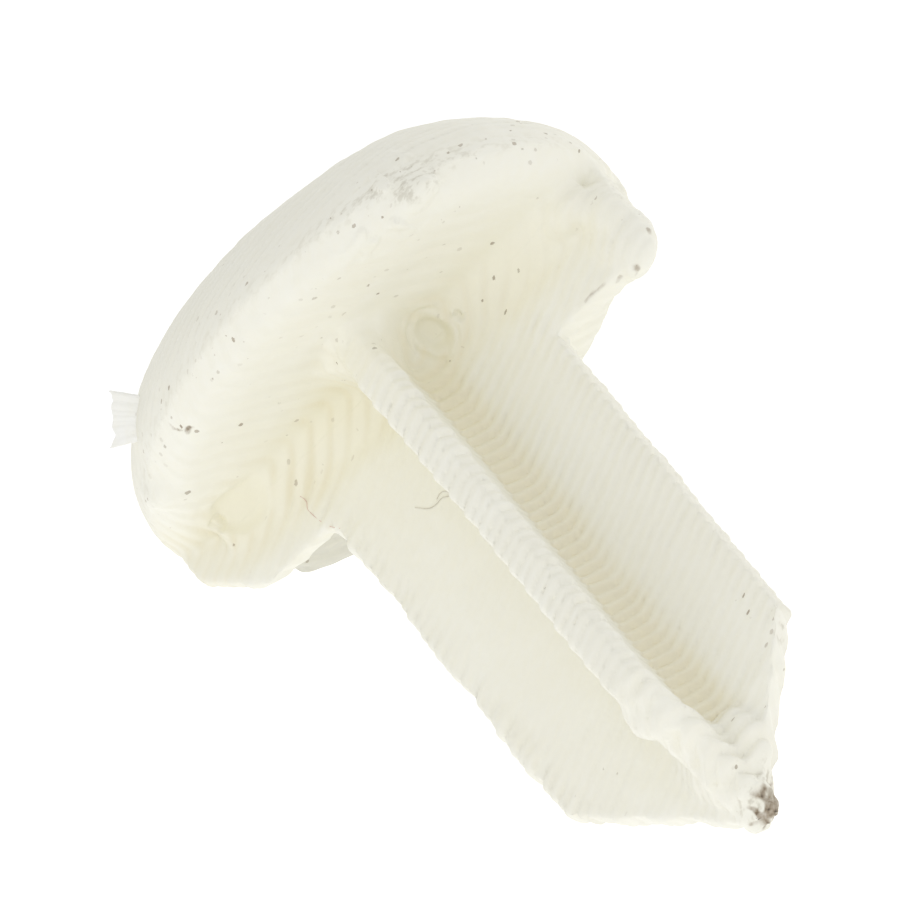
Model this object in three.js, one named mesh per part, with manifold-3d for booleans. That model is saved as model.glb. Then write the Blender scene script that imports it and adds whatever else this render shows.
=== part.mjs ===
// Push-in plug for a drilled hole: a domed head on a cross-shaped shank that ends in a point.
//
// Millimetres. The origin is on the shank's axis, in the plane of the head's underside, which is the wall's
// surface. +Y runs along the shank into the wall and +Z is up. The wide blade lies in the X-Y plane.
import * as THREE from 'three';
import { mergeVertices } from 'three/addons/utils/BufferGeometryUtils.js';
import Module from 'manifold-3d';

// Shank
const HOLE_RADIUS = 3.0; // the hole that the four fins fill
const FIN_THICKNESS = 0.66;
const FIN_CORNER = 0.16; // rounding of a fin's outer corners
const BLADE_LAP = 0.1; // how far each half of the blade runs past the axis into the other
const STRAIGHT_LENGTH = 10.1; // from the wall's surface to where the point begins
const POINT_HALF_ANGLE = 45; // degrees
const TIP_RADIUS = 0.2; // blunt end of the point

// Head
const HEAD_RADIUS = 6.0;
const FLANGE_THICKNESS = 0.45;
const FLANGE_EDGE = 0.4; // rounding of the flange's lower edge
const SEAT_INNER_RADIUS = 3.4; // the seat starts clear of the fins
const DOME_HEIGHT = 3.1;

// Shoulders, broad gussets in the blade's plane that reach from the shank to the flange's rim
const SHOULDER_REACH = 5.85; // from the axis to the outer edge
const SHOULDER_SPLAY = 0.3; // height over which the outer edge splays out from the foot
const LEFT_SHOULDER = { depth: 1.95, corner: 0.6 }; // below the flange, and rounding of the outer corner
const RIGHT_SHOULDER = { depth: 1.7, corner: 1.2 };

// Tab, a thin flap that stands off the dome's side
const TAB_WIDTH = 1.15;
const TAB_LENGTH = 0.55; // clear of the dome
const TAB_THICKNESS = 0.22;
const TAB_HEIGHT = 1.8; // of its root, above the wall
const TAB_TURN = 36; // degrees about the axis, from +X towards +Z
const TAB_SLOPE = 0.7; // how much the flap's width leans from round the rim to down the dome
const TAB_CLEARANCE = 0.03; // between the flap and the dome

const ROUND_SEGMENTS = 96;
const DOME_STEPS = 14;
const EDGE_STEPS = 4;
const CORNER_STEPS = 6;

const wasm = await Module();
wasm.setup();

// A closed geometry as a solid for cutting.
function solidOf(geometry) {
  const bare = geometry.clone();
  bare.deleteAttribute('normal');
  bare.deleteAttribute('uv');
  const merged = mergeVertices(bare, 1e-4);
  return new wasm.Manifold(
    new wasm.Mesh({
      numProp: 3,
      vertProperties: merged.attributes.position.array,
      triVerts: new Uint32Array(merged.index.array),
    }),
  );
}

// A cut solid as a geometry with flat-shaded faces.
function geometryOf(solid) {
  const mesh = solid.getMesh();
  const geometry = new THREE.BufferGeometry()
    .setAttribute('position', new THREE.BufferAttribute(mesh.vertProperties, 3))
    .setIndex(new THREE.BufferAttribute(mesh.triVerts, 1))
    .toNonIndexed();
  geometry.computeVertexNormals();
  return geometry;
}

function plastic(color) {
  return new THREE.MeshStandardMaterial({ color, roughness: 0.55, metalness: 0 });
}

function part(name, geometry, color) {
  const mesh = new THREE.Mesh(geometry, plastic(color));
  mesh.name = name;
  return mesh;
}

// A solid of revolution about Y. The profile's points run from the lowest y to the highest.
function turned(points) {
  return new THREE.LatheGeometry(points.map(([r, y]) => new THREE.Vector2(r, y)), ROUND_SEGMENTS);
}

// The round, pointed outline of the hole that every fin is trimmed to.
function pointedRod() {
  const pointLength = (HOLE_RADIUS - TIP_RADIUS) / Math.tan(THREE.MathUtils.degToRad(POINT_HALF_ANGLE));
  const end = STRAIGHT_LENGTH + pointLength;
  return turned([[0, 0], [HOLE_RADIUS, 0], [HOLE_RADIUS, STRAIGHT_LENGTH], [TIP_RADIUS, end], [0, end]]);
}

// A fin's cross-section, from `inner` to `outer` along the shape's x, with its outer corners round. Its inner
// end is square.
function finSection(inner, outer) {
  const half = FIN_THICKNESS / 2;
  const section = new THREE.Shape();
  section.moveTo(inner, -half);
  section.lineTo(outer - FIN_CORNER, -half);
  section.absarc(outer - FIN_CORNER, -half + FIN_CORNER, FIN_CORNER, -Math.PI / 2, 0, false);
  section.absarc(outer - FIN_CORNER, half - FIN_CORNER, FIN_CORNER, 0, Math.PI / 2, false);
  section.lineTo(inner, half);
  section.closePath();
  return section;
}

// A fin along the shank, trimmed to the rod and turned `angle` degrees about the axis from +X towards +Z.
function fin(inner, outer, angle) {
  const length = STRAIGHT_LENGTH + HOLE_RADIUS;
  const bar = new THREE.ExtrudeGeometry(finSection(inner, outer), {
    depth: length,
    bevelEnabled: false,
    curveSegments: 4,
  });
  bar.rotateX(-Math.PI / 2); // the section's y to -Z, and the depth to +Y
  bar.rotateY(-THREE.MathUtils.degToRad(angle));
  return solidOf(bar).intersect(solidOf(pointedRod()));
}

// The blade is one fin each way, joined at the axis.
function blade() {
  return geometryOf(fin(-BLADE_LAP, HOLE_RADIUS, 0).add(fin(-BLADE_LAP, HOLE_RADIUS, 180)));
}

function rib(angle) {
  return geometryOf(fin(FIN_THICKNESS / 2, HOLE_RADIUS, angle));
}

// The dome is half an ellipsoid of revolution. `grow` makes it larger all round.
function domeCap(grow = 0) {
  const radius = HEAD_RADIUS + grow;
  const height = DOME_HEIGHT + grow;
  const profile = [[0, -FLANGE_THICKNESS - height]];
  for (let i = 1; i < DOME_STEPS; i++) {
    const t = (i / DOME_STEPS) * (Math.PI / 2);
    profile.push([radius * Math.sin(t), -FLANGE_THICKNESS - height * Math.cos(t)]);
  }
  profile.push([radius, -FLANGE_THICKNESS], [0, -FLANGE_THICKNESS]);
  return turned(profile);
}

// The underside has a ring of faces outside the fins, which is the seat that meets the wall.
function flange() {
  const profile = [[0, -FLANGE_THICKNESS], [HEAD_RADIUS, -FLANGE_THICKNESS]];
  for (let i = 0; i <= EDGE_STEPS; i++) {
    const t = (i / EDGE_STEPS) * (Math.PI / 2);
    profile.push([
      HEAD_RADIUS - FLANGE_EDGE * (1 - Math.cos(t)),
      -FLANGE_EDGE * (1 - Math.sin(t)),
    ]);
  }
  profile.push([SEAT_INNER_RADIUS, 0], [0, 0]);
  return turned(profile);
}

// A gusset on the +X side, or on the -X side with side = -1. Its outer lower corner is round.
function shoulder(side, { depth, corner }) {
  // It stands on the flange's flat face and stops where the flange's edge begins to curve away.
  const foot = HEAD_RADIUS - FLANGE_EDGE;
  const outline = new THREE.Shape();
  outline.moveTo(HOLE_RADIUS, 0);
  outline.lineTo(foot, 0);
  outline.lineTo(SHOULDER_REACH, SHOULDER_SPLAY);
  outline.lineTo(SHOULDER_REACH, depth - corner);
  outline.absarc(SHOULDER_REACH - corner, depth - corner, corner, 0, Math.PI / 2, false);
  outline.lineTo(HOLE_RADIUS, depth);
  outline.closePath();
  const plate = new THREE.ExtrudeGeometry(outline, {
    depth: FIN_THICKNESS,
    bevelEnabled: false,
    curveSegments: CORNER_STEPS,
  });
  plate.translate(0, 0, -FIN_THICKNESS / 2);
  if (side < 0) plate.rotateY(Math.PI);
  return plate;
}

// A flat flap along the dome's normal at its root, cut off where it reaches the dome.
function rimTab() {
  const above = TAB_HEIGHT - FLANGE_THICKNESS;
  const rise = Math.asin(above / DOME_HEIGHT); // of the root round the dome's profile, from its rim
  const turn = THREE.MathUtils.degToRad(TAB_TURN);
  const outward = new THREE.Vector3(Math.cos(turn), 0, Math.sin(turn));
  const down = new THREE.Vector3(0, -1, 0);
  const root = outward.clone().multiplyScalar(HEAD_RADIUS * Math.cos(rise)).setY(-TAB_HEIGHT);
  const normal = outward
    .clone()
    .multiplyScalar(Math.cos(rise) / HEAD_RADIUS)
    .addScaledVector(down, Math.sin(rise) / DOME_HEIGHT)
    .normalize();
  const alongRim = new THREE.Vector3(-Math.sin(turn), 0, Math.cos(turn));
  // The flap's broad face turns up towards +Z and along the shank, half way between the rim and the profile.
  const across = new THREE.Vector3().crossVectors(normal, alongRim);
  const broad = alongRim.clone().addScaledVector(across, -TAB_SLOPE).normalize();
  const width = new THREE.Vector3().crossVectors(broad, normal);
  const flap = new THREE.BoxGeometry(2 * TAB_LENGTH, TAB_WIDTH, TAB_THICKNESS);
  flap.applyMatrix4(new THREE.Matrix4().makeBasis(normal, width, broad).setPosition(root));
  return geometryOf(solidOf(flap).subtract(solidOf(domeCap(TAB_CLEARANCE))));
}

const plug = new THREE.Group();
plug.add(
  part('dome_cap', domeCap(), 0xf0eee2),
  part('flange', flange(), 0xeae8da),
  part('blade', blade(), 0xf2f0e4),
  part('upper_rib', rib(90), 0xf4f2e8),
  part('lower_rib', rib(-90), 0xece9dc),
  part('left_shoulder', shoulder(-1, LEFT_SHOULDER), 0xe8e5d6),
  part('right_shoulder', shoulder(1, RIGHT_SHOULDER), 0xe8e5d6),
  part('rim_tab', rimTab(), 0xfafaf6),
);

export default plug;
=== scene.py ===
import math

import bpy
import numpy as np
from mathutils import Matrix, Vector


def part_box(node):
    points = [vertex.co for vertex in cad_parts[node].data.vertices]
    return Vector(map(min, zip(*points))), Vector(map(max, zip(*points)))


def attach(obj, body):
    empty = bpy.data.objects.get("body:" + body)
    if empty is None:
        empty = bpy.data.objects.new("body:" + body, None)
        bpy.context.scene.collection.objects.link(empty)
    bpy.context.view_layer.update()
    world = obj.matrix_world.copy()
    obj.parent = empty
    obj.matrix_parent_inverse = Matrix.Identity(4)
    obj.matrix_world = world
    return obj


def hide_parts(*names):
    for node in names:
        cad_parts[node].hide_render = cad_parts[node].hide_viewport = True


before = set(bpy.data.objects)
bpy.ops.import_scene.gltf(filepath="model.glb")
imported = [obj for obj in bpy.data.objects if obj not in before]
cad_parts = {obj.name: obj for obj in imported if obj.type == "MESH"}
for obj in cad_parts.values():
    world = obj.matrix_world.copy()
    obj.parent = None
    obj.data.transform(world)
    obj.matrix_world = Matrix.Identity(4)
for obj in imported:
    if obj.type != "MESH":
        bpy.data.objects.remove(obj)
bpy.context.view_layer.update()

# The shape is made with one unit to the millimetre, and each finished piece is brought to metres at the end.
MM = 0.001

# Sizes from the frame, in millimetres
FLANGE_LOW, FLANGE_HIGH = (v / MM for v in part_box("flange"))
DOME_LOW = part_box("dome_cap")[0] / MM
BLADE_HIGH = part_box("blade")[1] / MM
LEFT_LOW, LEFT_HIGH = (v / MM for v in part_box("left_shoulder"))
RIGHT_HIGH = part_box("right_shoulder")[1] / MM
HEAD_RADIUS = FLANGE_HIGH.x
FLANGE_TOP = FLANGE_LOW.y  # the plane between dome and flange, above the wall
DOME_HEIGHT = FLANGE_TOP - DOME_LOW.y
FIN_RADIUS = BLADE_HIGH.x
FIN_HALF = BLADE_HIGH.z  # half a fin's thickness
POINT_START = 10.1  # where the 45 degree point begins
RIM_ROUND = 0.95
RIM_DEPTH = 1.6  # of the rounded rim, which runs a little way up the dome

# Filament layers
LAYER = 0.2324  # thickness
LAYER_NORMAL = Vector((-0.413, 0.865, 0.285)).normalized()

VOXEL = 0.05
SHARP = 60  # degrees between faces, from which an edge counts as sharp


# ---------------------------------------------------------------- shapes

def only(obj):
    """Selects one object alone and makes it the active one."""
    bpy.ops.object.select_all(action="DESELECT")
    obj.select_set(True)
    bpy.context.view_layer.objects.active = obj


def apply_place(obj):
    only(obj)
    bpy.ops.object.transform_apply(location=True, rotation=True, scale=True)


def apply_modifier(obj, kind, **settings):
    only(obj)
    modifier = obj.modifiers.new(kind.lower(), kind)
    for name, value in settings.items():
        setattr(modifier, name, value)
    bpy.ops.object.modifier_apply(modifier=modifier.name)


def join_to(main, extra):
    bpy.ops.object.select_all(action="DESELECT")
    for obj in (main, *extra):
        obj.select_set(True)
    bpy.context.view_layer.objects.active = main
    bpy.ops.object.join()


def face_outwards(obj):
    only(obj)
    bpy.ops.object.mode_set(mode="EDIT")
    bpy.ops.mesh.select_all(action="SELECT")
    bpy.ops.mesh.normals_make_consistent(inside=False)
    bpy.ops.object.mode_set(mode="OBJECT")


def block(low, high):
    low, high = Vector(low), Vector(high)
    bpy.ops.mesh.primitive_cube_add(size=1, location=(low + high) / 2)
    obj = bpy.context.object
    obj.scale = high - low
    apply_place(obj)
    return obj


def cut(obj, place, normal, fill=True):
    """Cuts away what lies on the side that `normal` points to, and closes the cut."""
    only(obj)
    bpy.ops.object.mode_set(mode="EDIT")
    bpy.ops.mesh.select_all(action="SELECT")
    bpy.ops.mesh.bisect(plane_co=place, plane_no=normal, use_fill=fill, clear_outer=True, threshold=1e-6)
    bpy.ops.object.mode_set(mode="OBJECT")


def ball(centre, radii):
    bpy.ops.mesh.primitive_uv_sphere_add(segments=48, ring_count=24, radius=1, location=centre)
    obj = bpy.context.object
    obj.scale = radii
    apply_place(obj)
    return obj


def dome():
    obj = ball((0, FLANGE_TOP, 0), (HEAD_RADIUS, DOME_HEIGHT, HEAD_RADIUS))
    cut(obj, (0, FLANGE_TOP + 0.05, 0), (0, 1, 0))
    return obj


def flange_disc(radius, depth, rounding):
    bpy.ops.mesh.primitive_cylinder_add(
        vertices=160, radius=radius, depth=depth, rotation=(math.pi / 2, 0, 0), location=(0, -depth / 2, 0))
    obj = bpy.context.object
    apply_place(obj)
    apply_modifier(obj, "BEVEL", width=rounding, segments=10, limit_method="ANGLE",
                   angle_limit=math.radians(SHARP))
    return obj


def flange_parts():
    """The rim is well rounded in front and has a tighter edge behind."""
    back = flange_disc(HEAD_RADIUS + 0.02, 1.0, 0.35)
    cut(back, (0, 0, -1.3), (0, 0, 1))
    spread = flange_disc(HEAD_RADIUS + 0.2, 0.6, 0.2)  # where the first layers squeezed out
    cut(spread, (2.6, 0, 0), (-1, 0, 0))
    cut(spread, (0, 0, -3.7), (0, 0, 1))
    return [flange_disc(HEAD_RADIUS - 0.04, RIM_DEPTH, RIM_ROUND), back, spread]


def rod(start, end, radius):
    start, end = Vector(start), Vector(end)
    way = end - start
    bpy.ops.mesh.primitive_cylinder_add(
        vertices=32, radius=radius, depth=way.length, location=(start + end) / 2)
    obj = bpy.context.object
    obj.rotation_mode = "QUATERNION"
    obj.rotation_quaternion = way.to_track_quat("Z", "Y")
    apply_place(obj)
    return obj


SKIN = 0.04  # rounding takes about this much off a fin, so the fins start larger


def wide_fin():
    """The blade, cut to its 45 degree point."""
    edge = FIN_RADIUS + SKIN
    obj = block((-edge, -0.6, -FIN_HALF - 0.02), (edge, BLADE_HIGH.y + 0.5, FIN_HALF + 0.02))
    for side, start in ((-1, POINT_START - 0.22), (1, POINT_START)):
        cut(obj, (side * edge, start, 0), (side, 1, 0))
    return obj


def tall_fin():
    """Both ribs, cut to the same point, with a thicker bead along each top edge."""
    edge = FIN_RADIUS + SKIN
    obj = block((-FIN_HALF - 0.01, -0.6, -edge), (FIN_HALF + 0.01, BLADE_HIGH.y + 0.5, edge))
    for side in (-1, 1):
        cut(obj, (0, POINT_START, side * edge), (0, 1, side))
    made = [obj]
    bead = 0.43
    off = -0.07  # the beads sit a little to one side
    for side in (-1, 1):
        high = side * (edge - bead)
        made += [rod((off, -0.4, high), (off, POINT_START, high), bead),
                 ball((off, -0.02, high + side * 0.1), (0.52, 0.42, 0.5)),
                 rod((off, POINT_START, high), (off, 12.25, side * 0.35), 0.44)]
    return made


def tip_core():
    """The fins run together into one rounded mass at the point."""
    return [
        ball((0.0, 11.5, 0.1), (0.8, 1.15, 0.9)),
        ball((0.0, 12.35, 0.0), (0.48, 0.5, 0.5)),
        ball((0.1, 10.5, 2.15), (0.46, 0.7, 0.5)),
        rod((-0.1, 10.9, 0.9), (-0.4, 12.1, 0.28), 0.38),
        ball((-0.6, 11.45, 0.3), (0.62, 0.75, 0.45)),
        ball((0.25, 11.9, 0.45), (0.38, 0.5, 0.4)),
    ]


def left_shoulder():
    """Its outer end swells into a nub that reaches past the rim."""
    depth = LEFT_HIGH.y
    plate = block((LEFT_LOW.x - 0.02, -0.4, LEFT_LOW.z - 0.04),
                  (-FIN_RADIUS + 0.3, depth + 0.02, LEFT_HIGH.z + 0.04))
    cut(plate, (-5.4, depth, 0), (-1, 1.5, 0))
    return [
        plate,
        ball((-4.75, 0.2, 0.62), (0.7, 0.5, 0.5)),
        ball((-5.2, 1.3, 0.0), (0.78, 0.88, 0.55)),
        ball((-5.35, 0.7, 0.25), (0.55, 0.7, 0.5)),
    ]


def right_shoulder():
    depth = RIGHT_HIGH.y
    plate = block((FIN_RADIUS - 0.3, -0.4, -0.15), (RIGHT_HIGH.x + 0.02, depth - 0.1, RIGHT_HIGH.z + 0.04))
    cut(plate, (5.42, 0.98, 0), (1, 0.95, 0))
    cut(plate, (4.8, 1.45, 0), (0.6, 1, -1))
    return [plate]


def corner_bar(start, end, normals, size):
    """A three-sided bar along a corner, so that the two faces meet in a slope."""
    a, b = (Vector(n) * size for n in normals)
    start, end = Vector(start), Vector(end)
    mesh = bpy.data.meshes.new("bar")
    back = -(a + b) * 0.3
    points = [p + o for p in (start, end) for o in (back, a, b)]
    mesh.from_pydata(points, [], [(0, 2, 1), (3, 4, 5), (0, 1, 4, 3), (1, 2, 5, 4), (2, 0, 3, 5)])
    obj = bpy.data.objects.new("bar", mesh)
    bpy.context.scene.collection.objects.link(obj)
    face_outwards(obj)
    return obj


SEAT_FILLET = 0.8  # where the fins meet the underside
RIB_FILLET = 0.6  # where the ribs meet the underside
FIN_FILLET = {-1: 0.5, 1: 0.3}  # where the ribs meet the blade, on the -X and the +X side


def corner_bars():
    made = []
    for z in (-1, 1):
        made.append(corner_bar(
            (-4.8, 0, z * FIN_HALF), (4.9, 0, z * FIN_HALF), ((0, 1, 0), (0, 0, z)), SEAT_FILLET))
        for x in (-1, 1):
            made.append(corner_bar(
                (x * FIN_HALF, 0, z * FIN_HALF), (x * FIN_HALF, 11.6, z * FIN_HALF),
                ((x, 0, 0), (0, 0, z)), FIN_FILLET[x]))
            made.append(corner_bar(
                (x * FIN_HALF, 0, 0), (x * FIN_HALF, 0, z * 2.6), ((x, 0, 0), (0, 1, 0)), RIB_FILLET))
    return made


def lobes():
    """Blobs where the filament was laid too thick."""
    return [
        ball((5.3, -0.35, -1.45), (0.5, 0.42, 0.75)),
        ball((4.9, -0.4, 2.72), (0.52, 0.42, 0.5)),
        ball((-3.1, -0.25, 4.7), (0.75, 0.32, 0.4)),
    ]


def fused_body():
    parts = [dome(), *flange_parts(), wide_fin(), *tall_fin(), *tip_core(), *left_shoulder(),
             *right_shoulder(), *corner_bars(), *lobes()]
    body = parts[0]
    join_to(body, parts[1:])
    apply_modifier(body, "REMESH", mode="VOXEL", voxel_size=VOXEL, use_smooth_shade=True)
    apply_modifier(body, "SMOOTH", factor=0.5, iterations=22)
    soften(body)
    return body


def soften(body):
    """Rounds the rim and the corners at the fins' feet much more than the rest."""
    co = coordinates(body.data)
    x, y, z = co.T
    radius = np.hypot(x, z)
    clear_of_blade = ramp(np.maximum(np.abs(z) - 0.45, 0.1 - y), 0, 0.4)
    rim = ramp(radius, 4.4, 4.9) * ramp(-y, -0.4, -0.1) * ramp(y, -2.6, -2.0) * clear_of_blade
    foot = 1 - ramp(np.hypot(np.maximum(y, 0), np.maximum(np.abs(z) - FIN_HALF, 0)), 0.9, 1.4)
    foot = foot * ramp(y, -0.3, -0.05) * (1 - ramp(np.abs(x), 4.4, 5.2)) * (1 - ramp(y, 1.0, 1.4))
    rib_foot = (1 - ramp(y, 0.7, 1.1)) * ramp(y, -0.3, -0.05) * (1 - ramp(np.abs(x), 1.0, 1.4))
    rib_foot = rib_foot * (1 - ramp(np.abs(z), 2.7, 3.2))
    weight = np.clip(np.maximum(rim, np.maximum(foot, rib_foot)), 0, 1)
    group = body.vertex_groups.new(name="soft")
    for i in np.nonzero(weight > 0.01)[0]:
        group.add([int(i)], float(weight[i]), "REPLACE")
    apply_modifier(body, "SMOOTH", factor=0.5, iterations=80, vertex_group="soft")


# ---------------------------------------------------------------- surface relief

def coordinates(mesh):
    co = np.empty(len(mesh.vertices) * 3, np.float32)
    mesh.vertices.foreach_get("co", co)
    return co.reshape(-1, 3).astype(float)


def normals(mesh):
    no = np.empty(len(mesh.vertices) * 3, np.float32)
    mesh.vertex_normals.foreach_get("vector", no)
    return no.reshape(-1, 3).astype(float)


def ramp(x, low, high):
    t = np.clip((x - low) / (high - low), 0, 1)
    return t * t * (3 - 2 * t)


GRID = 32  # the noise repeats after this many cells


def wander(co, size, seed):
    """Smooth noise from -1 to 1 that varies over about `size` millimetres, one size or one for each axis."""
    table = np.random.default_rng(seed).uniform(-1, 1, (GRID, GRID, GRID))
    p = co / np.asarray(size) + 0.37 * seed
    cell = np.floor(p).astype(int)
    f = p - cell
    f = f * f * (3 - 2 * f)
    total = np.zeros(len(co))
    for corner in np.ndindex(2, 2, 2):
        share = np.prod([f[:, a] if corner[a] else 1 - f[:, a] for a in range(3)], axis=0)
        i, j, k = ((cell[:, a] + corner[a]) % GRID for a in range(3))
        total += share * table[i, j, k]
    return total


def one_line(s, seed):
    """Smooth noise along one direction."""
    return wander(np.stack([s, np.full_like(s, seed * 1.7), np.full_like(s, 0.5)], axis=1), 1.0, seed)


def near(co, place, size):
    """1 at a place, falling to 0 at about twice `size` from it. `size` is one number or one for each axis."""
    d = (co - np.array(place)) / np.asarray(size)
    return np.exp(-np.sum(d * d, axis=1))


def along(co, points):
    """Distance from a line through several points."""
    best = np.full(len(co), 1e9)
    for a, b in zip(points, points[1:]):
        a, b = np.array(a, float), np.array(b, float)
        way = b - a
        t = np.clip((co - a) @ way / (way @ way), 0, 1)
        best = np.minimum(best, np.linalg.norm(co - a - t[:, None] * way, axis=1))
    return best


# Pockets in the underside where beads failed to meet: place, radii, depth, and how far rings show round it
POCKETS = [
    ((4.0, 0.35, 1.0), (0.66, 0.7, 0.55), 0.15, 0.12),
    ((4.75, 0.2, 0.95), (0.16, 0.3, 0.14), 0.12, 0.0),
    ((-1.2, 0.45, 0.95), (0.3, 0.45, 0.46), 0.2, 0.6),
    ((-1.8, 0.5, 0.8), (0.12, 0.25, 0.16), 0.1, 0.0),
]


def pockets(co):
    """How deep each place is sunk, and how plainly the layers may show there."""
    depth, show = np.zeros(len(co)), np.ones(len(co))
    for place, radii, deep, rings in POCKETS:
        d = np.sqrt(np.sum(((co - np.array(place)) / np.array(radii)) ** 2, axis=1))
        d = d + 0.12 * wander(co, 0.35, 11) + 0.3 * wander(co, 0.9, 13)
        inside = 1 - ramp(d, 0.55, 1.05)
        depth += deep * inside
        show *= 1 - 0.9 * (1 - ramp(d, 0.8, 1.2))
        depth += rings * 0.035 * np.sin(d * 9.5) * ramp(d, 0.9, 1.1) * (1 - ramp(d, 1.3, 2.5))
    return depth, show


def strength(co, show):
    """How plainly the layers show, place by place."""
    x, y, z = co.T
    patch = wander(co, 1.3, 5)
    shank = ramp(y, 0.9, 1.5)
    crown = ramp(-y, 0.7, 1.3)
    edge = ramp(np.abs(x), FIN_RADIUS - 0.7, FIN_RADIUS - 0.15)
    valley = 1 - ramp(np.abs(x), 0.6, 1.7)
    left = 0.14 + 0.8 * edge + 0.4 * ramp(y, 7.5, 9.5) + 0.12 * patch
    right = 0.62 + 0.6 * edge + 0.5 * valley + 0.25 * patch
    blade = np.where(x > 0, left, right)
    rib = 0.35 + 0.55 * np.maximum(ramp(np.abs(z), 2.2, 2.8), ramp(y, 10.3, 10.9)) + 0.2 * patch
    on_shank = np.where(np.abs(z) > 1.0, rib, blade)
    foot = 1 - ramp(np.hypot(y, np.abs(z) - FIN_HALF), 1.0, 1.7)
    under = 0.34 + 0.26 * patch + foot * (0.14 + 0.2 * patch) + 0.12 * ramp(x, 1.5, 4.0)
    on_crown = 0.7 + 0.35 * patch
    s = under * (1 - shank) * (1 - crown) + on_shank * shank + on_crown * crown
    blade_side = ramp(y, 0.5, 1.0) * (1 - ramp(np.abs(z), 0.4, 0.6)) * ramp(np.abs(x), 3.0, 3.3)
    s = s * (1 - blade_side) + 0.55 * blade_side
    s = s + (0.1 + 0.15 * patch) * ramp(y, 10.6, 11.3)
    return np.clip(s, 0.03, 1.4) * show


# How far the dome stands out or in from its ellipsoid, across the plug from -X to +X
LEAN_AT = (-6.0, -3.6, -1.7, 0.3, 2.1, 4.2, 6.0)
LEAN = (0.02, 0.06, -0.14, -0.16, -0.1, -0.04, -0.02)

# What is painted on the surface, from 0 to 1: painted shade in recesses, painted shade in the troughs between
# layers, specks of dirt, stains, the pink of one hair, and painted shade behind the blade and on the crown
PAINTED = ("recess_shade", "groove_shade", "dirt", "stain", "crack", "painted_shade")


def store(mesh, name, values):
    data = mesh.attributes.new(name, "FLOAT", "POINT").data
    data.foreach_set("value", np.clip(values, 0, 1).astype(np.float32))


def blisters(co):
    """Worm-like raised skin on the front of the rim."""
    where = near(co, (-2.9, -0.25, 5.0), (1.2, 0.9, 0.75))
    wave = wander(co, 0.34, 21)
    return where, wave


def layers(body):
    mesh = body.data
    co, no = coordinates(mesh), normals(mesh)
    x, y, z = co.T
    n = np.array(LAYER_NORMAL)
    s = co @ n / LAYER + 0.25 * wander(co, 3.0, 1) + 0.17 * wander(co, 0.8, 6)
    k = np.floor(s)
    t = s - k - 0.5
    g = no @ n
    m = no - g[:, None] * n
    length = np.linalg.norm(m, axis=1)
    m /= np.maximum(length, 1e-3)[:, None]
    saw = t * ramp(0.5 - np.abs(t), 0.0, 0.14)
    slope = np.clip(g / np.maximum(length, 1e-3), -1.1, 1.1)
    bead = np.sqrt(np.maximum(1 - (2 * t) ** 2, 0)) - 0.785
    sunk, show = pockets(co)
    power = strength(co, show) * ramp(length, 0.15, 0.5)
    rib_top = ramp(y, 0.6, 1.2) * ramp(np.abs(z), 2.0, 2.7)
    left_edge = ramp(x, 2.4, 2.9) * ramp(y, 0.8, 1.6) * (1 - ramp(np.abs(z), 0.5, 0.8))
    uneven = (0.5 * one_line(k * 0.71, 3) + (0.5 + 0.8 * rib_top) * (np.mod(k, 2) * 2 - 1))
    point = ramp(y, 10.0, 10.6) * (1 - ramp(np.abs(z), 0.6, 1.2))
    ragged = (left_edge + 0.7 * point) * (0.13 * one_line(s / 1.9, 8) + 0.07 * one_line(s / 0.9, 9))
    move = m * (power * (0.75 * slope * LAYER * saw + 0.055 * bead + 0.013 * uneven) + ragged)[:, None]

    where, wave = blisters(co)
    lift = 0.028 * wander(co, 1.1, 2) + 0.011 * wander(co, 0.3, 4) + 0.12 * where * ramp(wave, 0.05, 0.4)
    lift += np.interp(x, LEAN_AT, LEAN) * ramp(FLANGE_TOP - y, 0, 0.8)
    lift -= 0.1 * near(co, (5.0, -0.8, 3.2), (1.0, 0.8, 1.2))
    lift -= 0.1 * near(co, (-4.1, -0.3, -4.3), (1.5, 1.0, 1.5)) * ramp(np.hypot(x, z), 4.6, 5.4)
    lift -= sunk
    # the blade's point is lumpy
    lift += 0.07 * ramp(y, 10.2, 11.0) * wander(co, 0.42, 12)
    mesh.vertices.foreach_set("co", (co + move + no * lift[:, None]).astype(np.float32).ravel())
    mesh.update()
    paint(mesh, co, power * (0.5 - bead), sunk, where, wave)


# ---------------------------------------------------------------- dirt, stains and painted shade, place by place

# Hairs of lint, as points in the blade's plane, with their thickness and the paint that colours them
LINT = [
    ([(1.45, 2.67), (1.31, 2.88), (1.1, 2.97), (0.89, 2.92), (0.7, 3.08), (0.74, 2.86), (0.9, 2.82),
      (1.0, 2.88)], 0.009, ("stain", 0.4)),
    ([(3.13, 0.73), (3.08, 0.85), (3.2, 1.0), (3.19, 1.17), (3.15, 1.4), (3.08, 1.64), (2.93, 1.82)],
     0.007, ("crack", 0.9)),
]


def hair(body, points, radius, colour):
    """A thin hair that lies over the surface below its points."""
    data = bpy.data.curves.new("hair", "CURVE")
    data.dimensions, data.bevel_depth, data.bevel_resolution, data.use_fill_caps = "3D", radius, 1, True
    spline = data.splines.new("NURBS")
    spline.points.add(len(points) - 1)
    spline.order_u, spline.use_endpoint_u, spline.resolution_u = 3, True, 8
    for point, (x, y) in zip(spline.points, points):
        hit, place, _, _ = body.ray_cast(Vector((x, y, 2)), Vector((0, 0, -1)))
        point.co = (x, y, max(place.z, 0.2) + radius if hit else FIN_HALF, 1)
    obj = bpy.data.objects.new("hair", data)
    bpy.context.scene.collection.objects.link(obj)
    only(obj)
    bpy.ops.object.convert(target="MESH")
    obj = bpy.context.object
    for name in PAINTED:
        store(obj.data, name, np.full(len(obj.data.vertices), colour[1] if name == colour[0] else 0.0))
    return obj


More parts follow.
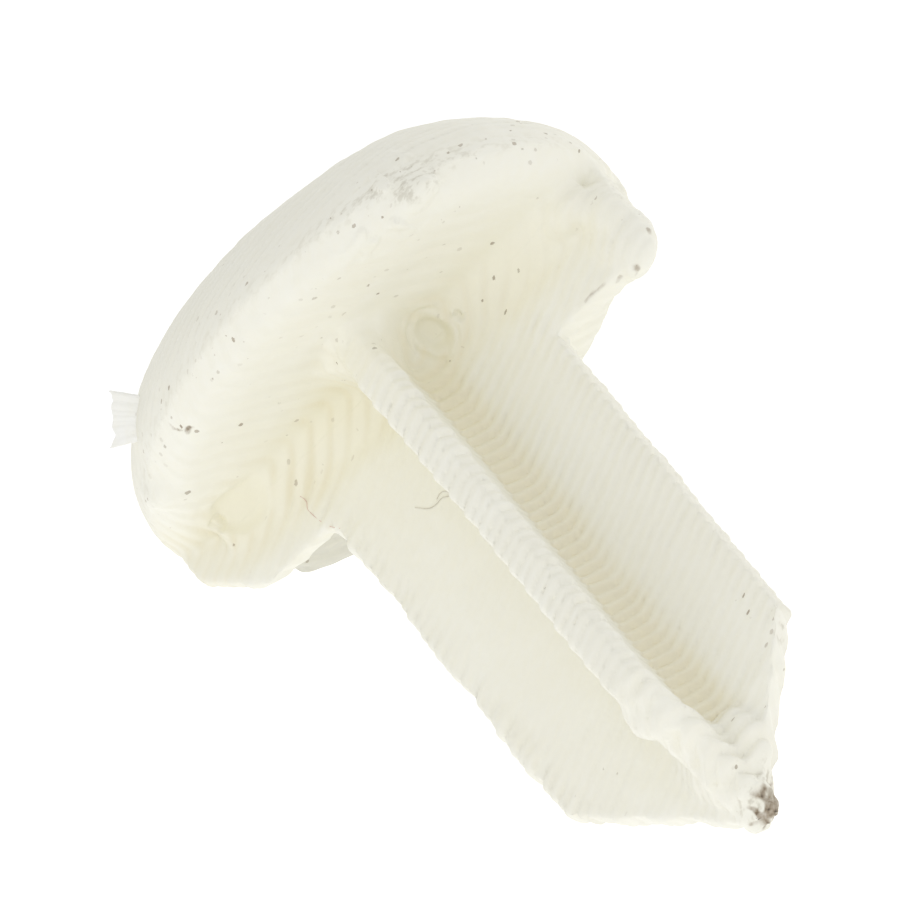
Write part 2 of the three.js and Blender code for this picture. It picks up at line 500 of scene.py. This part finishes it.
def paint(mesh, co, groove_shade, sunk, blister, wave):
    x, y, z = co.T
    radius = np.hypot(x, z)
    under = ramp(-y, -1.4, -0.8) * ramp(y, -1.3, -0.6)
    front = ramp(z, -0.2, 0.4)

    # painted shade: recesses, the fins' feet, the valleys beside the ribs, the pockets and the middle of the
    # underside are tinted yellower
    foot = 1 - ramp(np.hypot(np.maximum(y, 0), np.abs(z) - FIN_HALF), 0.5, 2.2)
    from_corner = np.hypot(np.abs(x) - 0.4, np.abs(z) - 0.4)
    valley = ramp(y, 0.4, 1.2) * (1 - ramp(y, 10.6, 11.3)) * (1 - ramp(from_corner, 0.1, 1.0))
    recess_shade = 0.45 * foot * (1 - ramp(y, 0.8, 1.6)) * (1 - 0.7 * ramp(-x, 3.2, 4.4))
    recess_shade = recess_shade + np.where(x < 0, 1.0, 0.25) * valley
    recess_shade += 0.3 * under * (1 - ramp(radius, 4.2, 5.6)) + 0.6 * sunk
    recess_shade += (0.5 * near(co, (0.9, 0.1, 1.3), (1.1, 0.8, 0.8))
             + 0.5 * near(co, (4.6, 0.2, 0.8), (0.9, 0.6, 0.5)))
    store(mesh, "recess_shade", recess_shade * (0.85 + 0.3 * wander(co, 0.8, 31)))
    # painted shade in the troughs between the filament layers
    store(mesh, "groove_shade", np.clip(groove_shade, 0, 1))

    # specks of dirt
    dirt = 0.34 * under + 0.12
    dirt += 0.06 * blister + 0.12 * near(co, (-3.0, -1.0, 4.5), (3.0, 1.2, 1.2))
    dirt += (0.9 * near(co, (-0.4, 12.7, 0.1), (1.4, 1.3, 1.3))
             + 0.8 * near(co, (-2.7, 10.3, 0.0), (0.5, 1.3, 0.6)))
    dirt += 0.45 * near(co, (-5.5, 1.6, 0.1), (0.6, 0.8, 0.8)) + 0.3 * ramp(radius, 5.6, 6.0) * front
    dirt -= 0.15 * ramp(y, 1.5, 2.5) * (1 - ramp(y, 8.5, 10)) * (x > -2.4)
    store(mesh, "dirt", dirt)

    # marks with a place of their own
    crumb = np.linalg.norm(co - np.array((3.37, -0.15, 4.33)), axis=1) + 0.09 * wander(co, 0.12, 41)
    stain = 0.62 * (1 - ramp(crumb, 0.05, 0.17))
    tail = along(co, [(3.37, -0.15, 4.33), (3.6, -0.25, 4.5), (3.58, -0.35, 4.7)])
    stain += 0.5 * ramp(0.07 - tail, 0, 0.05)
    seam = along(co, [(-4.75, 1.93, 0.3), (-4.2, 1.9, 0.35), (-3.6, 1.95, 0.35), (-3.1, 2.0, 0.3)])
    stain += 0.45 * ramp(0.06 - seam, 0, 0.05) * ramp(wander(co, 0.3, 42), -0.2, 0.3)
    for place, size in (((-5.84, 1.68, 0.2), 0.13), ((-5.12, 2.12, 0.2), 0.18), ((-4.75, 1.95, 0.2), 0.1),
                        ((0.4, 0.55, 2.7), 0.08)):
        spot = np.linalg.norm(co - np.array(place), axis=1) + 0.08 * wander(co, 0.13, 45)
        stain += 0.5 * (1 - ramp(spot, size - 0.1, size + 0.02))
    end_of_tip = (near(co, (-0.35, 13.0, 0.0), (0.7, 0.6, 0.8))
                  + 0.7 * near(co, (-1.0, 12.2, 0.0), (0.4, 0.8, 0.5)))
    end_of_tip += (0.35 * near(co, (0.5, 12.6, 0.0), (0.5, 0.4, 0.5))
                   + 0.4 * near(co, (-2.9, 10.0, 0.0), (0.25, 0.9, 0.5)))
    end_of_tip += 0.42 * near(co, (-5.9, 1.6, 0.1), (0.3, 0.6, 0.5))
    streaks = wander(co, (0.12, 0.4, 0.16), 43)
    stain += 0.75 * ramp(end_of_tip + 0.45 * streaks, 0.45, 0.95)
    stain += 0.4 * blister * ramp(0.08 - np.abs(wave - 0.1), 0, 0.06) * ramp(wander(co, 0.4, 44), 0.0, 0.3)
    store(mesh, "stain", stain)
    # painted shadow on the flange's underside behind the blade, and painted shade growing towards the top of
    # the dome
    behind = ramp(x, 1.5, 2.5) * ramp(-z, 0.6, 1.6) * ramp(-y, -0.5, -0.2) * ramp(y, -0.9, -0.4)
    store(mesh, "painted_shade", behind + 0.2 * ramp(-y, 0.2, 2.4))
    store(mesh, "crack", np.zeros(len(co)))


# ---------------------------------------------------------------- pieces

def piece_from(body, name, cuts):
    """A copy of the fused body, cut down to one piece by planes and closed at each cut."""
    only(body)
    bpy.ops.object.duplicate()
    obj = bpy.context.object
    obj.name = obj.data.name = name
    for place, normal in cuts:
        cut(obj, place, normal)
    return obj


STUB = 0.3  # how far the flange's piece runs up the shank
RIB_ROOT = 0.9  # where the ribs part from the blade
SHOULDER_ROOT = FIN_RADIUS + 0.12


def pieces_of(body):
    lint = [hair(body, *one) for one in LINT]
    up, down = (0, 1, 0), (0, -1, 0)
    above_stub = ((0, STUB, 0), down)
    between_shoulders = [((SHOULDER_ROOT, 0, 0), (1, 0, 0)), ((-SHOULDER_ROOT, 0, 0), (-1, 0, 0))]
    made = {
        "dome_cap": piece_from(body, "domed_cap", [((0, FLANGE_TOP, 0), up)]),
        "flange": piece_from(body, "seat_flange", [((0, FLANGE_TOP, 0), down), ((0, STUB, 0), up)]),
        "upper_rib": piece_from(body, "top_rib", [
            above_stub, *between_shoulders, ((0, 0, RIB_ROOT), (0, 0, -1))]),
        "lower_rib": piece_from(body, "bottom_rib", [
            above_stub, *between_shoulders, ((0, 0, -RIB_ROOT), (0, 0, 1))]),
        "right_shoulder": piece_from(body, "shoulder_right", [
            above_stub, ((SHOULDER_ROOT, 0, 0), (-1, 0, 0))]),
        "left_shoulder": piece_from(body, "shoulder_left", [above_stub, ((-SHOULDER_ROOT, 0, 0), (1, 0, 0))]),
        "blade": piece_from(body, "wide_blade", [
            above_stub, *between_shoulders, ((0, 0, RIB_ROOT), (0, 0, 1)), ((0, 0, -RIB_ROOT), (0, 0, -1))]),
    }
    bpy.data.objects.remove(body)
    join_to(made["blade"], lint)
    made["rim_tab"] = flap()
    return made


# The flap stands off the dome's side: its root, and the ways that its length, width and broad face point
FLAP_ROOT = Vector((3.88, -1.23, 3.6))
FLAP_LONG = Vector((0.719, -0.564, 0.406))
FLAP_WIDE = Vector((-0.680, -0.691, 0.244))
FLAP_FACE = Vector((-0.1425, 0.4514, 0.8808))


def flap():
    """A torn scrap of film with pinched sides, a ragged end and a lip folded over at its root."""
    bpy.ops.mesh.primitive_grid_add(x_subdivisions=44, y_subdivisions=44, size=1)
    obj = bpy.context.object
    obj.name = obj.data.name = "rim_flap"
    co = coordinates(obj.data)
    u, v = co[:, 0] + 0.5, co[:, 1] * 2
    length, width = 1.02, 1.2
    ragged = 0.07 * one_line(v * 3.1, 51) + 0.03 * one_line(v * 9.0, 52)
    ears = 0.1 * np.abs(v) ** 6
    out = -0.16 + (length + ragged + ears) * u
    pinch = 1 - 0.2 * np.sin(np.pi * np.clip(u * 1.05, 0, 1)) + 0.05 * one_line(u * 6.0, 53) * np.abs(v)
    lip = np.exp(-((out - 0.1 - 0.05 * v) / 0.075) ** 2)
    creases = 0.03 * one_line(v * 4.0 + 0.8 * u, 54) + 0.012 * one_line(v * 11.0 - u, 55)
    tucked = 0.25 * np.exp(-((out + 0.16) / 0.1) ** 2)
    face = 0.14 * lip + creases * (0.4 + u) + 0.1 * (u - 0.5) ** 2 + 0.03 * v * u - tucked
    side = 0.5 * width * v * pinch - 0.05 * u
    points = (np.array(FLAP_ROOT)[None] + out[:, None] * np.array(FLAP_LONG)
              + side[:, None] * np.array(FLAP_WIDE) + face[:, None] * np.array(FLAP_FACE))
    obj.data.vertices.foreach_set("co", points.astype(np.float32).ravel())
    obj.data.update()
    apply_modifier(obj, "SOLIDIFY", thickness=0.11, offset=0.0)
    apply_modifier(obj, "SUBSURF", levels=1)
    face_outwards(obj)
    co = coordinates(obj.data)
    zero = np.zeros(len(co))
    grime = 0.55 * near(co, tuple(FLAP_ROOT + 0.85 * FLAP_LONG - 0.5 * FLAP_WIDE), 0.3)
    for name in PAINTED:
        store(obj.data, name, 0.1 + grime if name == "dirt" else zero)
    return obj


def to_metres(obj):
    obj.scale = (MM, MM, MM)
    apply_place(obj)


# ---------------------------------------------------------------- materials

class Value:
    """A shader socket that can be used in sums."""

    def __init__(self, paper, socket):
        self.paper, self.socket = paper, socket

    def beside(self, out):
        """Another output of the same node."""
        return Value(self.paper, self.socket.node.outputs[out])

    def maths(self, operation, *others):
        return self.paper.node("ShaderNodeMath", {"operation": operation}, dict(enumerate(others)))

    def __add__(self, other):
        return self.maths("ADD", self, other)

    def __sub__(self, other):
        return self.maths("SUBTRACT", self, other)

    def __mul__(self, other):
        return self.maths("MULTIPLY", self, other)

    def __rsub__(self, other):
        return self.maths("SUBTRACT", other, self)

    __radd__ = __add__
    __rmul__ = __mul__

    def most(self, other):
        return self.maths("MAXIMUM", self, other)

    def between(self, low, high):
        """0 below `low`, 1 above `high` and a smooth rise between them. Either may be a Value."""
        return self.paper.node("ShaderNodeMapRange", {"interpolation_type": "SMOOTHSTEP"},
                               {"Value": self, "From Min": low, "From Max": high})


class Paper:
    """The node tree of one material."""

    def __init__(self, name):
        self.material = bpy.data.materials.new(name)
        self.material.use_nodes = True
        self.tree = self.material.node_tree
        self.shader = self.tree.nodes["Principled BSDF"]
        self.place = self.node("ShaderNodeTexCoord", {}, {}, "Object")

    def node(self, kind, settings, sockets, out=0):
        """Adds one node: its settings first, then a number, a colour or a Value on each socket."""
        made = self.tree.nodes.new(kind)
        for name, value in settings.items():
            setattr(made, name, value)
        for name, value in sockets.items():
            self.put(made.inputs[name], value)
        return Value(self, made.outputs[out])

    def put(self, socket, value):
        if isinstance(value, Value):
            self.tree.links.new(value.socket, socket)
        else:
            socket.default_value = value

    def painted(self, name):
        return self.node("ShaderNodeAttribute", {"attribute_name": name}, {}, "Fac")

    def noise(self, size, detail=2.0, place=None):
        """Noise from 0 to 1 over about `size` millimetres."""
        return self.node("ShaderNodeTexNoise", {}, {
            "Vector": place or self.place, "Scale": 1 / (size * MM), "Detail": detail, "Roughness": 0.55}, 0)

    def specks(self, spread, size, share, place):
        """Spots of about `size` millimetres, at `share` of the points of a random grid `spread` apart."""
        distance = self.node(
            "ShaderNodeTexVoronoi", {}, {"Vector": place, "Scale": 1 / (spread * MM)}, "Distance")
        luck = self.node("ShaderNodeSeparateColor", {}, {"Color": distance.beside("Color")})
        chance, depth, girth = (luck.beside(i) for i in range(3))
        wobble = (self.noise(0.04, 2.0) - 0.5) * 0.3
        edge = (0.55 + 0.8 * girth) * (size / spread)
        inside = 1 - (distance + wobble).between(edge, edge + 0.06)
        return inside * (share - chance).between(0.0, 0.004) * (0.12 + 0.75 * depth * depth)

    def mix(self, share, first, second):
        return self.node("ShaderNodeMix", {"data_type": "RGBA"}, {0: share, 6: first, 7: second}, 2)

    def along_layers(self, stretch):
        """The place, drawn out along the layers, so that noise on it makes short dashes."""
        n = LAYER_NORMAL
        t = n.cross(Vector((0, 0, 1))).normalized()
        parts = []
        for way, factor in ((n, 1.0), (t, 1 / stretch), (n.cross(t), 1 / stretch)):
            dot = self.node("ShaderNodeVectorMath", {"operation": "DOT_PRODUCT"},
                            {0: self.place, 1: tuple(way)}, "Value")
            parts.append(dot * factor)
        return self.node("ShaderNodeCombineXYZ", {}, dict(enumerate(parts)))


IVORY = (0.905, 0.893, 0.802, 1)
MILKY = (0.925, 0.92, 0.845, 1)
# painted shade grey, for behind the blade and the crown
SHADE_GREY = (0.60, 0.59, 0.51, 1)
# painted yellow shade for recesses, also used as a random streak tint
STRAW = (0.89, 0.855, 0.68, 1)
# painted shade in the troughs between layers
GAP = (0.85, 0.79, 0.60, 1)
BROWN = (0.22, 0.14, 0.065, 1)
SOOT = (0.045, 0.033, 0.02, 1)
GREY_DIRT = (0.33, 0.29, 0.21, 1)
ROSE = (0.62, 0.36, 0.30, 1)
FILM = (0.955, 0.955, 0.93, 1)

DASH_STRETCH = 2.6  # how far the dashes of dirt are drawn out along the layers


def plastic(name, base, milky):
    """Translucent ivory plastic with dirt, stains and painted shade in recesses, between layers, behind the
    blade and on the crown. `milky` is how much of it is whiter.
    """
    paper = Paper(name)
    recess_shade, groove_shade, dirt, stain, crack, painted_shade = (paper.painted(n) for n in PAINTED)
    cloud = paper.noise(1.6, 3.0)
    grain = paper.noise(0.12, 3.0)
    colour = paper.mix(cloud.between(0.42, 0.68) * milky, base, MILKY)
    # painted shade: recesses tinted yellower
    colour = paper.mix(recess_shade * (0.55 + 0.5 * cloud), colour, STRAW)
    # painted shade between layers, stronger in recesses
    colour = paper.mix((groove_shade * (0.12 + 0.75 * recess_shade)).between(0.0, 0.55) * 0.75, colour, GAP)
    # painted shadow behind the blade and painted shade on the crown
    colour = paper.mix(painted_shade * 0.85, colour, SHADE_GREY)
    # a thin film of handling dirt, then dashes and dots of it
    dashed = paper.along_layers(DASH_STRETCH)
    streak = paper.noise(0.1, 3.0, dashed)
    colour = paper.mix((streak - 0.5) * 0.5 + 0.1, colour, STRAW)
    film = dirt.between(0.65, 1.0) * streak.between(0.48, 0.68)
    colour = paper.mix(film * 0.45, colour, GREY_DIRT)
    share = dirt * dirt * 1.5 * paper.noise(0.8, 1.0).between(0.35, 0.65)
    dashes = paper.specks(0.105, 0.019, share, dashed)
    dots = paper.specks(0.17, 0.018, dirt * dirt * 0.12, paper.place)
    specks = dashes.most(dots)
    tint = paper.mix(paper.noise(0.7, 1.0).between(0.5, 0.7), BROWN, GREY_DIRT)
    colour = paper.mix(specks * 0.8, colour, tint)
    blot = (stain * (0.35 + 1.3 * streak)).between(0.12, 0.95)
    colour = paper.mix(blot, colour, paper.mix((stain * streak).between(0.3, 0.5), BROWN, SOOT))
    colour = paper.mix(crack * 0.8, colour, ROSE)
    paper.put(paper.shader.inputs["Base Color"], colour)
    soiled = specks.most(stain)
    paper.put(paper.shader.inputs["Roughness"], 0.42 + 0.16 * cloud + 0.12 * grain + 0.2 * soiled)
    fine = paper.noise(0.055, 4.0) * 0.5 + paper.noise(0.3, 3.0, paper.along_layers(3.0)) * 0.8 - 0.3 * soiled
    bump = paper.node("ShaderNodeBump", {}, {"Height": fine, "Strength": 0.35, "Distance": 0.02 * MM})
    paper.put(paper.shader.inputs["Normal"], bump)
    paper.put(paper.shader.inputs["IOR"], 1.46)
    return paper.material


# ---------------------------------------------------------------- camera, light and floor

AZIMUTH, ELEVATION, ROLL = (math.radians(v) for v in (197.5, 61.75, -58.95))
FRAME_WIDTH = 18.748 * MM
LENS, SENSOR = 600.0, 36.0
SIDEWAYS, UPWARDS = 1.221 * MM, -1.771 * MM  # from the origin to the middle of the view
LAMP_DISTANCE = 0.12
FLOOR_GAP = 0.0006  # between the flange's lowest point and the floor


def camera_axes():
    back = Vector((math.sin(AZIMUTH) * math.cos(ELEVATION), -math.cos(AZIMUTH) * math.cos(ELEVATION),
                   math.sin(ELEVATION)))
    level = Vector((0, 0, 1)).cross(back).normalized()
    upright = back.cross(level)
    right = math.cos(ROLL) * level + math.sin(ROLL) * upright
    up = -math.sin(ROLL) * level + math.cos(ROLL) * upright
    return right, up, back


def add_camera():
    right, up, back = camera_axes()
    distance = FRAME_WIDTH * LENS / SENSOR
    target = right * SIDEWAYS + up * UPWARDS
    data = bpy.data.cameras.new("camera")
    data.lens, data.sensor_width = LENS, SENSOR
    data.clip_start, data.clip_end = 0.01, 5
    cam = bpy.data.objects.new("camera", data)
    bpy.context.scene.collection.objects.link(cam)
    turn = Matrix((right, up, back)).transposed().to_4x4()
    cam.matrix_world = Matrix.Translation(target + back * distance) @ turn
    bpy.context.scene.camera = cam


def add_light(name, direction, size, power, colour):
    data = bpy.data.lights.new(name, "AREA")
    data.shape = "DISK"
    data.size = size
    data.energy = power
    data.color = colour
    light = bpy.data.objects.new(name, data)
    bpy.context.scene.collection.objects.link(light)
    way = Vector(direction).normalized()
    light.location = way * LAMP_DISTANCE
    light.rotation_mode = "QUATERNION"
    light.rotation_quaternion = way.to_track_quat("Z", "Y")


def add_lights():
    right, up, back = camera_axes()
    add_light("key", back * 0.8 - up * 0.55 - right * 0.4, 0.09, 0.019, (1, 1, 1))
    add_light("fill", back, 0.12, 0.01, (1, 1, 1))
    world = bpy.data.worlds.new("studio")
    bpy.context.scene.world = world
    world.use_nodes = True
    background = world.node_tree.nodes["Background"]
    background.inputs["Color"].default_value = (1, 1, 1, 1)
    background.inputs["Strength"].default_value = 0.76


def add_floor():
    bpy.ops.mesh.primitive_plane_add(size=0.6, location=(0, 0, FLANGE_LOW.z * MM - FLOOR_GAP))
    floor = bpy.context.object
    floor.name = "floor"
    material = bpy.data.materials.new("floor_white")
    material.use_nodes = True
    shader = material.node_tree.nodes["Principled BSDF"]
    shader.inputs["Base Color"].default_value = (0.95, 0.95, 0.95, 1)
    shader.inputs["Roughness"].default_value = 0.9
    shader.inputs["Emission Color"].default_value = (1, 1, 1, 1)
    shader.inputs["Emission Strength"].default_value = 0.34
    floor.data.materials.append(material)


# ---------------------------------------------------------------- build

crown_plastic = plastic("crown_plastic", IVORY, 0.4)
seat_plastic = plastic("seat_plastic", IVORY, 0.4)
fin_plastic = plastic("fin_plastic", IVORY, 0.6)
blade_plastic = plastic("stained_blade_plastic", IVORY, 0.45)
flap_film = plastic("flap_film", FILM, 0.8)
LOOKS = {
    "dome_cap": (crown_plastic, "printed_plastic"),
    "flange": (seat_plastic, "printed_plastic"),
    "upper_rib": (fin_plastic, "printed_plastic"),
    "lower_rib": (fin_plastic, "printed_plastic"),
    "left_shoulder": (fin_plastic, "printed_plastic"),
    "right_shoulder": (fin_plastic, "printed_plastic"),
    "blade": (blade_plastic, "stained_plastic"),
    "rim_tab": (flap_film, "white_flap"),
}

body = fused_body()
layers(body)
made = pieces_of(body)
for node, obj in made.items():
    to_metres(obj)
    only(obj)
    bpy.ops.object.shade_smooth_by_angle(angle=math.radians(SHARP))
    material, slot = LOOKS[node]
    obj.data.materials.clear()
    obj.data.materials.append(material)
    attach(obj, "root")
    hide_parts(node)
    print(obj.name, sum(len(p.vertices) - 2 for p in obj.data.polygons), "triangles")

add_camera()
add_lights()
add_floor()
scene = bpy.context.scene
scene.view_settings.view_transform = "Standard"
